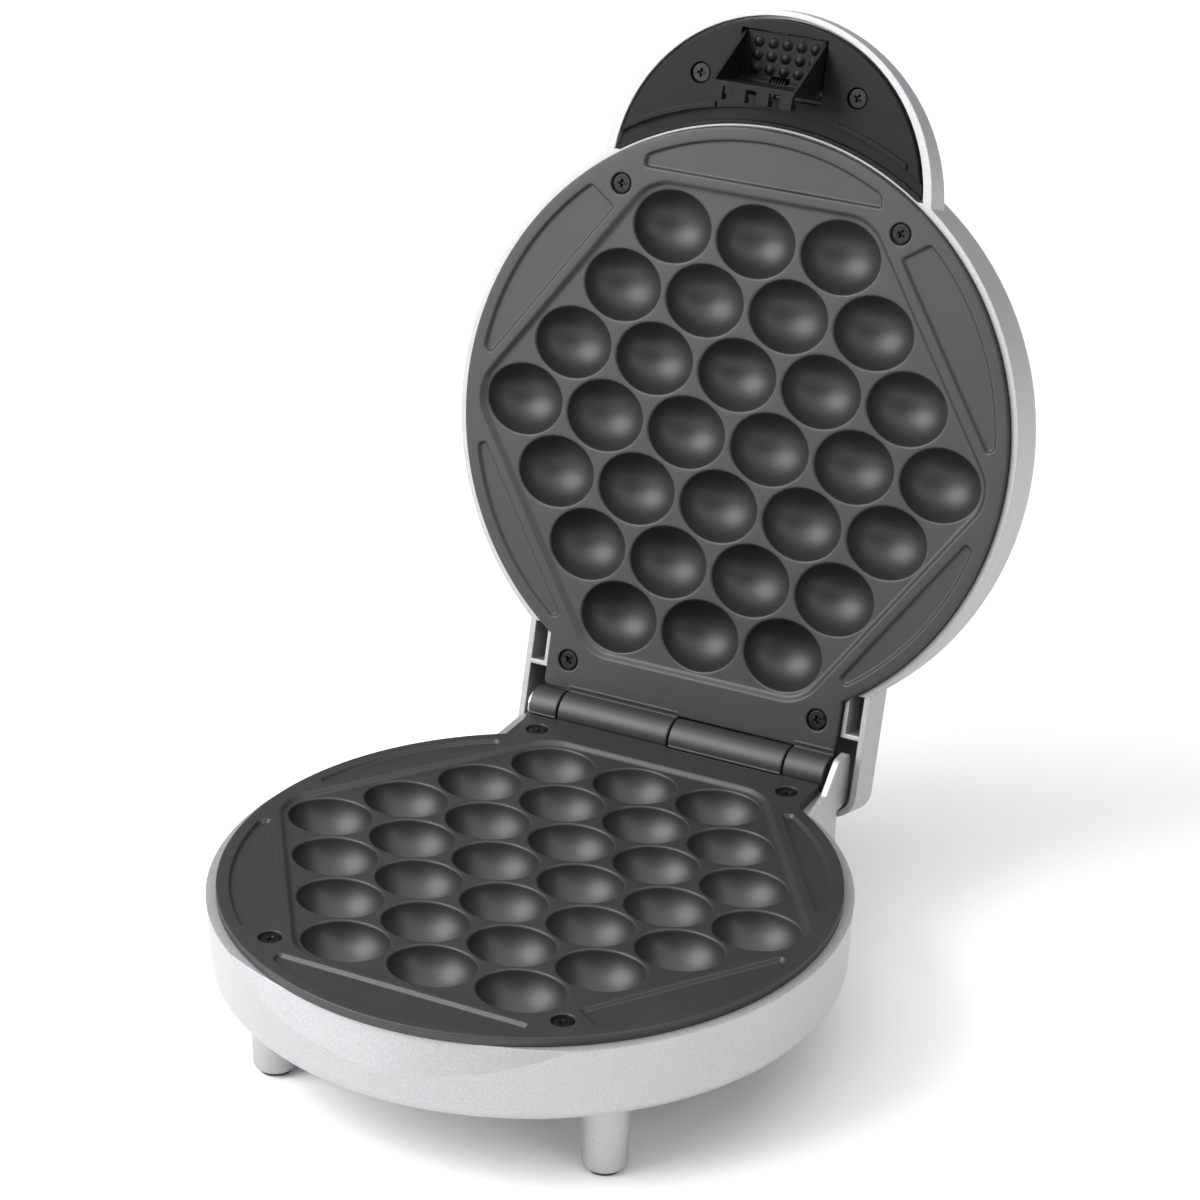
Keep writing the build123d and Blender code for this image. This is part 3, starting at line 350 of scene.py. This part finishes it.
# Baking plates, drawn face up with the face at zero, then set in place
PITCH, ROW, LATTICE_Y = 32.0, 23.3, 5.2
ROWS = (3, 4, 5, 6, 5, 4, 3)
MIDDLE_ROW = len(ROWS) // 2
CAVITY = (14.84, 12.63)
CAVITY_DROP = 0.7
LIP = 0.7
LIP_TURNS = (22.5, 45.0, 67.5, 90.0)
PLATE_R, CIRCLE_SIDES = 103.2, 256
EDGE_R = 0.5
EDGE_STEP = ((0.04, -0.17), (0.12, -0.19), (0.34, -0.14))
FLANGE = 3.2
BOSS_DEPTH = 17.0
APRON = (57.0, 104.8)
APRON_CORNER = 2.0
HINGE_Y, HINGE_Z = 112.2, 0.15
KNUCKLE_R, KNUCKLE_EDGE, KNUCKLE_SIDES = 7.0, 0.5, 96
WEB_EDGE = 0.3
BASE_KNUCKLES = ((-58.3, -47.3), (-2.7, 41.2))
LID_KNUCKLES = ((-46.7, -3.3), (41.8, 57.0))

# The recess round the cavities, the pockets round the recess, and the boss behind: the margin
# is how far each lies outside the cavities, and a step is its width and its depth
RECESS = 1.5
RECESS_MARGIN, RECESS_CORNER = 3.3, 15.0
RECESS_STEP = ((0.35, 0.06), (0.3, 0.2), (0.9, 0.84), (0.3, 0.24), (0.4, 0.16))
POCKET_MARGIN, POCKET_R = 5.8, 99.2
POCKET_CORNER, POCKET_WELD = 1.7, 1.75
POCKET_STEP = ((0.25, 0.05), (0.2, 0.17), (0.45, 0.8), (0.2, 0.16), (0.3, 0.1))
POCKET_ENDS = ((-34.4, 34.4), (-34.4, 34.4), (-25.7, 47.3), (-47.3, 25.7), (-45.5, 45.5))
BOSS_MARGIN, BOSS_CORNER = 2.4, 14.0
BLANK = 400.0
CORNER_SEGMENTS = 12
CORNER_ANGLE = 165

# The hexagon's side corners lie within the first of these from its middle line, the others past the second
SIDE_CORNER, END_CORNER = 1.0, 60.0

SCREWS = ((53.0, -76.4), (-53.0, -76.4), (48.7, 94.3), (-48.7, 94.3))
COUNTERSINK_R, COUNTERSINK_SIDES = 4.2, 48
COUNTERSINK_STEP = ((0.15, 0.04), (0.15, 0.16), (0.05, 1.7))
WELD = 0.005

# Where the plates stand while the lid is open
FACE_Z = 58.85
OPEN_ANGLE = 104.85
LOWER = shift(0, 0, FACE_Z)
UPPER = (
    shift(0, HINGE_Y, FACE_Z + HINGE_Z)
    @ Matrix.Rotation(radians(-OPEN_ANGLE), 4, "X")
    @ shift(0, -HINGE_Y, HINGE_Z)
)
FACE_DOWN = UPPER @ Matrix.Diagonal((1, 1, -1, 1))


def side_lines(margin):
    """The hexagon's sides at this distance outside the cavities: a point and the way out."""
    side = Vector((ROW, PITCH / 2, 0)).normalized()
    middle = Vector((0, LATTICE_Y, 0))
    pitches_out = (max(ROWS) - 1) / 2
    reach = pitches_out * PITCH * side.x + hypot(CAVITY[0] * side.x, CAVITY[1] * side.y) + margin
    for x, y in ((1, 1), (-1, 1), (-1, -1), (1, -1)):
        way = Vector((x * side.x, y * side.y, 0))
        yield way * reach + middle, way
    for y in (-1, 1):
        end = LATTICE_Y + y * (MIDDLE_ROW * ROW + CAVITY[1] + margin)
        yield Vector((0, end, 0)), Vector((0, y, 0))


def hexagon(margin, corner_r):
    """A six-sided face round the cavities, with rounded corners."""
    bpy.ops.mesh.primitive_plane_add(size=BLANK * MM)
    piece = bpy.context.object
    edit(piece)
    for point, way in side_lines(margin):
        bpy.ops.mesh.select_all(action="SELECT")
        bpy.ops.mesh.bisect(plane_co=point * MM, plane_no=way, clear_outer=True)
    slant = atan2(ROW, PITCH / 2)
    middle = LATTICE_Y * MM
    side_cut = corner_r * MM / tan(slant)
    end_cut = corner_r * MM / tan((pi - slant) / 2)
    pick(piece, "VERT", lambda v: abs(v.co.y - middle) < SIDE_CORNER * MM)
    bpy.ops.mesh.bevel(offset=side_cut, segments=CORNER_SEGMENTS, affect="VERTICES")
    pick(piece, "VERT", lambda v: abs(v.co.y - middle) > END_CORNER * MM)
    bpy.ops.mesh.bevel(offset=end_cut, segments=CORNER_SEGMENTS, affect="VERTICES")
    return piece


def corner(vertex):
    """A vertex where the outline turns clearly, unlike those along its arcs."""
    one, other = [edge.other_vert(vertex).co - vertex.co for edge in vertex.link_edges]
    return one.angle(other) < radians(CORNER_ANGLE)


def pocket(line, ends):
    """A shallow pocket between a side of the hexagon and the rim, cut short at its ends."""
    bpy.ops.mesh.primitive_circle_add(vertices=CIRCLE_SIDES, radius=POCKET_R * MM, fill_type="NGON")
    piece = bpy.context.object
    edit(piece)
    point, way = line
    along = Vector((way.y, -way.x, 0))
    for at, keep in ((point, way), (along * ends[0], along), (along * ends[1], -along)):
        bpy.ops.mesh.select_all(action="SELECT")
        bpy.ops.mesh.bisect(plane_co=at * MM, plane_no=keep, clear_inner=True)
    bpy.ops.mesh.select_all(action="SELECT")
    bpy.ops.mesh.remove_doubles(threshold=POCKET_WELD * MM)
    pick(piece, "VERT", corner)
    bpy.ops.mesh.bevel(offset=POCKET_CORNER * MM, segments=6, affect="VERTICES")
    stepped(piece, POCKET_STEP)
    return piece


def cavity():
    """One bowl: the low part of a spheroid whose lip rolls over to the floor round it."""
    across, along = CAVITY
    at = (0, 0, -CAVITY_DROP * MM)
    bpy.ops.mesh.primitive_uv_sphere_add(
        segments=64, ring_count=48, radius=MM, location=at, scale=(across, along, along))
    piece = settled(bpy.context.object)
    edit(piece)
    low = RECESS + LIP
    bpy.ops.mesh.bisect(plane_co=(0, 0, -low * MM), plane_no=(0, 0, 1), clear_outer=True)
    bpy.ops.mesh.flip_normals()
    before, level = 0.0, -low
    for turn in LIP_TURNS:
        pick(piece, "EDGE", rim_at(level))
        bpy.ops.mesh.extrude_region_move()
        out = LIP * (cos(radians(before)) - cos(radians(turn)))
        rise = LIP * (sin(radians(turn)) - sin(radians(before)))
        bpy.ops.transform.resize(value=(1 + out / across, 1 + out / along, 1), center_override=(0, 0, 0))
        bpy.ops.transform.translate(value=(0, 0, rise * MM))
        before, level = turn, level + rise
    start()
    return piece


def countersink(place):
    """The hollow that a screw's head sits in."""
    at = (place[0] * MM, place[1] * MM, 0)
    bpy.ops.mesh.primitive_circle_add(
        vertices=COUNTERSINK_SIDES, radius=COUNTERSINK_R * MM, fill_type="NGON", location=at)
    piece = settled(bpy.context.object)
    edit(piece)
    stepped(piece, COUNTERSINK_STEP)
    start()
    return piece


def outline():
    """The plate's edge: a circle that runs into the apron at the hinge."""
    bpy.ops.mesh.primitive_circle_add(vertices=CIRCLE_SIDES, radius=PLATE_R * MM)
    piece = bpy.context.object
    edit(piece)
    half, rear = APRON
    meets_y = sqrt(PLATE_R**2 - half**2)
    bpy.ops.mesh.bisect(plane_co=(0, meets_y * MM, 0), plane_no=(0, 1, 0), clear_outer=True)
    pick(piece, "VERT", lambda v: len(v.link_edges) == 1)
    bpy.ops.mesh.extrude_region_move(TRANSFORM_OT_translate={"value": (0, (rear - meets_y) * MM, 0)})
    bpy.ops.mesh.edge_face_add()
    pick(piece, "VERT", lambda v: v.co.y > (rear - 0.1) * MM)
    bpy.ops.mesh.bevel(offset=APRON_CORNER * MM, segments=5, affect="VERTICES")
    bpy.ops.mesh.select_all(action="SELECT")
    bpy.ops.mesh.edge_face_add()
    pick(piece, "FACE", lambda face: face.normal.z < 0)
    bpy.ops.mesh.flip_normals()
    bpy.ops.mesh.select_all(action="SELECT")
    bpy.ops.transform.translate(value=(0, 0, -EDGE_R * MM))
    stepped(piece, EDGE_STEP)
    pick(piece, "FACE", big)
    bpy.ops.mesh.delete(type="ONLY_FACE")
    start()
    return piece


def knuckle(first, last):
    """A length of hinge barrel and the web that carries it."""
    middle, length = (first + last) / 2, last - first
    along_x = (0, pi / 2, 0)
    barrel = cylinder(KNUCKLE_R, length, (middle, HINGE_Y, HINGE_Z), KNUCKLE_SIDES, along_x)
    bevelled(barrel, KNUCKLE_EDGE, sharp())
    web_y = APRON[1] - FLANGE / 2
    at = Vector((middle, (web_y + HINGE_Y) / 2, -FLANGE / 2)) * MM
    size = Vector((length, HINGE_Y - web_y, FLANGE)) * MM
    bpy.ops.mesh.primitive_cube_add(size=1, location=at, scale=size)
    web = settled(bpy.context.object)
    bevelled(web, WEB_EDGE, sharp(), 2)
    return joined([barrel, web], "knuckle")


def bowls():
    """All thirty cavities of a plate."""
    first = cavity()
    twins = []
    for row, count in enumerate(ROWS):
        for column in range(count):
            x = (column - (count - 1) / 2) * PITCH
            twins.append(copied(first, shift(x, LATTICE_Y + (row - MIDDLE_ROW) * ROW)))
    bpy.data.objects.remove(first)
    return twins


def back_boss():
    """The six-sided block behind the cavities, open at its top."""
    piece = hexagon(BOSS_MARGIN, BOSS_CORNER)
    bpy.ops.mesh.select_all(action="SELECT")
    bpy.ops.transform.translate(value=(0, 0, -FLANGE * MM))
    raised(FLANGE - BOSS_DEPTH)
    top = -(FLANGE + SAME_LEVEL) * MM
    pick(piece, "FACE", lambda face: big(face) and face.calc_center_median().z > top)
    bpy.ops.mesh.delete(type="ONLY_FACE")
    start()
    return piece


def plate(name, knuckles):
    """A baking plate, face up: the flat rim round the hexagon, the pockets and the screws' countersinks."""
    recess = hexagon(RECESS_MARGIN, RECESS_CORNER)
    stepped(recess, RECESS_STEP)
    pick(recess, "FACE", big)
    bpy.ops.mesh.delete(type="ONLY_FACE")
    start()
    pockets = []
    for line, ends in zip(side_lines(POCKET_MARGIN), POCKET_ENDS):
        pockets.append(pocket(line, ends))
        start()
    cavities = bowls()
    holes = [countersink(place) for place in SCREWS]
    boss = back_boss()
    body = joined([outline(), recess, *pockets, *cavities, *holes, boss], name)
    edit(body)
    for height in (0.0, -RECESS):
        pick(body, "EDGE", rim_at(height))
        bpy.ops.mesh.fill(use_beauty=True)
    pick(body, "EDGE", rim_at(-EDGE_R))
    raised(EDGE_R - FLANGE)
    pick(body, "EDGE", rim_at(-FLANGE))
    bpy.ops.mesh.fill(use_beauty=True)
    bpy.ops.mesh.select_all(action="SELECT")
    bpy.ops.mesh.remove_doubles(threshold=WELD * MM)
    bpy.ops.mesh.normals_make_consistent(inside=False)
    start()
    barrels = [knuckle(*ends) for ends in knuckles]
    return joined([body, *barrels], name)


lower = placed(plate("lower_baking_plate", BASE_KNUCKLES), LOWER)
upper = placed(plate("upper_baking_plate", LID_KNUCKLES), FACE_DOWN)
mounted(lower, "base", "coated_plate", ["lower_plate"])
mounted(upper, "lid", "coated_plate", ["upper_plate"])

# Screws with a cross recess
HEAD_R, HEAD_HIGH, HEAD_EDGE, HEAD_SIDES = 3.4, 1.4, 0.45, 48
SHANK_R, SHANK_IN_HEAD, SHANK_SIDES = 1.9, 0.2, 32
CROSS_WIDE, CROSS_REACH, CROSS_DEEP = 1.0, 1.3, 1.1
CROSS_PROUD, CROSS_TIP = 0.3, 0.45
FIRST_TURN, NEXT_TURN = 25, 67
PLATE_SCREW, PLATE_SCREW_DROP = 11.0, 0.6
COVER_SCREWS = ((29.5, -118.6), (-29.5, -118.6))
COVER_SCREW, COVER_SCREW_DROP = 7.0, 2.6


def cut(piece, cutter):
    """Takes the cutter's volume out of the piece."""
    chosen(piece)
    modifier = piece.modifiers.new("cut", "BOOLEAN")
    modifier.operation = "DIFFERENCE"
    modifier.object = cutter
    bpy.ops.object.modifier_apply(modifier=modifier.name)
    bpy.data.objects.remove(cutter)
    return piece


def cross():
    """The tip of a cross driver: four tapered blades."""
    middle = (CROSS_PROUD - CROSS_DEEP) / 2
    size = (CROSS_WIDE, CROSS_WIDE, CROSS_DEEP + CROSS_PROUD)
    bpy.ops.mesh.primitive_cube_add(size=MM, location=(0, 0, middle * MM), scale=size)
    tip = settled(bpy.context.object)
    edit(tip)
    pick(tip, "FACE", lambda face: abs(face.normal.z) < 0.5)
    bpy.ops.mesh.extrude_faces_move(TRANSFORM_OT_shrink_fatten={"value": CROSS_REACH * MM})
    pick(tip, "VERT", lambda v: v.co.z < -0.9 * CROSS_DEEP * MM)
    bpy.ops.transform.resize(value=(CROSS_TIP, CROSS_TIP, 1), center_override=(0, 0, 0))
    start()
    return tip


def top_edge(edge):
    """The edge round the top of a screw's head."""
    return sharp()(edge) and all(v.co.z > -0.1 * MM for v in edge.verts)


def screw(length):
    """A screw with its head's top at zero and a shank of this length."""
    head = cylinder(HEAD_R, HEAD_HIGH, (0, 0, -HEAD_HIGH / 2), HEAD_SIDES)
    bevelled(head, HEAD_EDGE, top_edge, 4)
    head = cut(head, cross())
    shank = cylinder(SHANK_R, length, (0, 0, SHANK_IN_HEAD - HEAD_HIGH - length / 2), SHANK_SIDES)
    return joined([head, shank], "screw")


def screw_set(name, length, places, drop, face):
    """Copies of one screw, each turned as the driver left it."""
    first = screw(length)
    twins = []
    for number, (x, y) in enumerate(places):
        turn = Matrix.Rotation(radians(FIRST_TURN + NEXT_TURN * number), 4, "Z")
        twins.append(copied(first, face @ shift(x, y, -drop) @ turn))
    bpy.data.objects.remove(first)
    return joined(twins, name)


lower_screws = screw_set("lower_screws", PLATE_SCREW, SCREWS, PLATE_SCREW_DROP, LOWER)
mounted(lower_screws, "base", "dark_screw", ["lower_plate_screws"])
upper_screws = screw_set("upper_screws", PLATE_SCREW, SCREWS, PLATE_SCREW_DROP, FACE_DOWN)
mounted(upper_screws, "lid", "dark_screw", ["upper_plate_screws"])
cover_screws = screw_set("cover_screws", COVER_SCREW, COVER_SCREWS, COVER_SCREW_DROP, FACE_DOWN)
mounted(cover_screws, "lid", "dark_screw", ["handle_screws"])

# The lid's moulding and the handle's cover, from merged copies of the CAD meshes
COVER_Y, COVER_R, COVER_FACE = -83.4, 58.5, 2.0
COVER_GAP, COVER_EDGE = 0.75, 0.6
RIB_EDGE, RIB_TOP = 0.35, 0.7
NEAR_RIM, NEAR_FACE = 0.5, 0.1
FLAT_ANGLE = 0.4
CREASE = 0.7
MERGE = 0.002
LID_RIM = 2.4
LIP_R, LIP_HIGH, LIP_SIDES = (104.3, 105.6), 0.2, 360
LIP_END = -87.8


def merged(node, name):
    """A merged copy of a part, whose normals are worked out anew."""
    piece = bpy.data.objects.new(name, NODES[node].data.copy())
    bpy.context.scene.collection.objects.link(piece)
    piece.matrix_world = NODES[node].matrix_world
    settled(piece)
    edit(piece)
    bpy.ops.mesh.remove_doubles(threshold=MERGE * MM)
    bpy.ops.mesh.customdata_custom_splitnormals_clear()
    start()
    return piece


def from_cover_centre(v):
    return hypot(v.co.x, v.co.y - COVER_Y * MM)


def creased(test):
    """Sharp edges of the cover whose ends both pass the test."""
    return lambda edge: sharp(CREASE)(edge) and all(test(v) for v in edge.verts)


def rim_lip():
    """The cover's thin edge, which laps over the lid's rim beside the plate."""
    start()
    inner, outer = LIP_R
    bpy.ops.mesh.primitive_circle_add(vertices=LIP_SIDES, radius=inner * MM, location=(0, 0, LID_RIM * MM))
    piece = settled(bpy.context.object)
    edit(piece)
    bpy.ops.mesh.extrude_region_move()
    bpy.ops.transform.resize(value=(outer / inner, outer / inner, 1), center_override=(0, 0, 0))
    bpy.ops.mesh.select_all(action="SELECT")
    raised(-LIP_HIGH)
    bpy.ops.mesh.select_all(action="SELECT")
    bpy.ops.mesh.bisect(plane_co=(0, LIP_END * MM, 0), plane_no=(0, 1, 0), clear_outer=True, use_fill=True)
    bpy.ops.mesh.select_all(action="SELECT")
    bpy.ops.mesh.normals_make_consistent(inside=False)
    start()
    return piece


def handle_underside():
    """The cover of the handle, with a gap round it, its rim rounded over and a thin lip."""
    piece = placed(merged("handle_cover", "handle_underside"), UPPER.inverted())
    edit(piece)
    bpy.ops.mesh.dissolve_limited(angle_limit=radians(FLAT_ANGLE))
    wall = (COVER_R - NEAR_RIM) * MM
    pick(piece, "VERT", lambda v: from_cover_centre(v) > wall)
    share = 1 - COVER_GAP / COVER_R
    bpy.ops.transform.resize(value=(share, share, 1), center_override=(0, COVER_Y * MM, 0))
    rim = (COVER_R - COVER_GAP - NEAR_RIM) * MM
    face = (COVER_FACE + NEAR_FACE) * MM
    pick(piece, "EDGE", creased(lambda v: from_cover_centre(v) > rim and v.co.z < face))
    bpy.ops.mesh.bevel(offset=COVER_EDGE * MM, segments=4)
    ribs = (COVER_FACE - RIB_TOP) * MM
    pick(piece, "EDGE", creased(lambda v: v.co.z < ribs))
    bpy.ops.mesh.bevel(offset=RIB_EDGE * MM, segments=3)
    return placed(joined([piece, rim_lip()], "handle_underside"), UPPER)


mounted(merged("lid_shell", "lid_moulding"), "lid", "silver_paint", ["lid_shell"])
mounted(handle_underside(), "lid", "black_plastic", ["handle_cover"])

# Floor, in metres like the light and the camera
FLOOR_WIDE = 12.0
start()
bpy.ops.mesh.primitive_plane_add(size=FLOOR_WIDE, location=(0, 0, 0))
floor = bpy.context.object
floor.name = "floor"
ground = Finish("floor_white", {"Roughness": 0.9})
ground.feed("Base Color", ground.blend(ground.noise(scale=3.0), (0.94, 0.94, 0.94, 1), (0.96, 0.96, 0.96, 1)))
floor.data.materials.append(ground.material)

# Light
world = bpy.data.worlds.new("studio")
bpy.context.scene.world = world
world.use_nodes = True
background = world.node_tree.nodes["Background"].inputs
background["Color"].default_value = (1.0, 1.0, 1.0, 1)
background["Strength"].default_value = 0.3


def softbox(name, place, aim, size, power):
    """A soft rectangular light that faces a point."""
    lamp = bpy.data.lights.new(name, "AREA")
    lamp.shape = "RECTANGLE"
    lamp.size, lamp.size_y = size
    lamp.energy = power
    holder = bpy.data.objects.new(name, lamp)
    bpy.context.scene.collection.objects.link(holder)
    holder.location = place
    holder.rotation_euler = (Vector(aim) - Vector(place)).to_track_quat("-Z", "Y").to_euler()


softbox("left_light", place=(-1.3, -1.2, 1.35), aim=(0, 0.08, 0.15), size=(1.7, 1.7), power=64)
softbox("top_light", place=(0.1, -0.3, 2.6), aim=(0, 0, 0), size=(4.6, 4.6), power=92)
softbox("right_light", place=(1.5, -0.5, 0.9), aim=(0, 0.1, 0.1), size=(0.7, 0.9), power=4)

# Camera of the photograph
SENSOR_WIDE, FOCAL_LENGTH = 36.0, 116.553
CAMERA_PLACE = (0.53319, -0.98681, 0.67856)
CAMERA_RIGHT = Vector((0.8857, 0.4641, 0.0138))
CAMERA_UP = Vector((-0.2063, 0.3668, 0.9072))
CAMERA_BACK = Vector((0.4159, -0.8063, 0.4206))
lens = bpy.data.cameras.new("camera")
lens.sensor_width = SENSOR_WIDE
lens.lens = FOCAL_LENGTH
camera = bpy.data.objects.new("camera", lens)
bpy.context.scene.collection.objects.link(camera)
camera.location = CAMERA_PLACE
camera.rotation_euler = Matrix((CAMERA_RIGHT, CAMERA_UP, CAMERA_BACK)).transposed().to_euler()
bpy.context.scene.camera = camera
bpy.context.scene.view_settings.view_transform = "Standard"
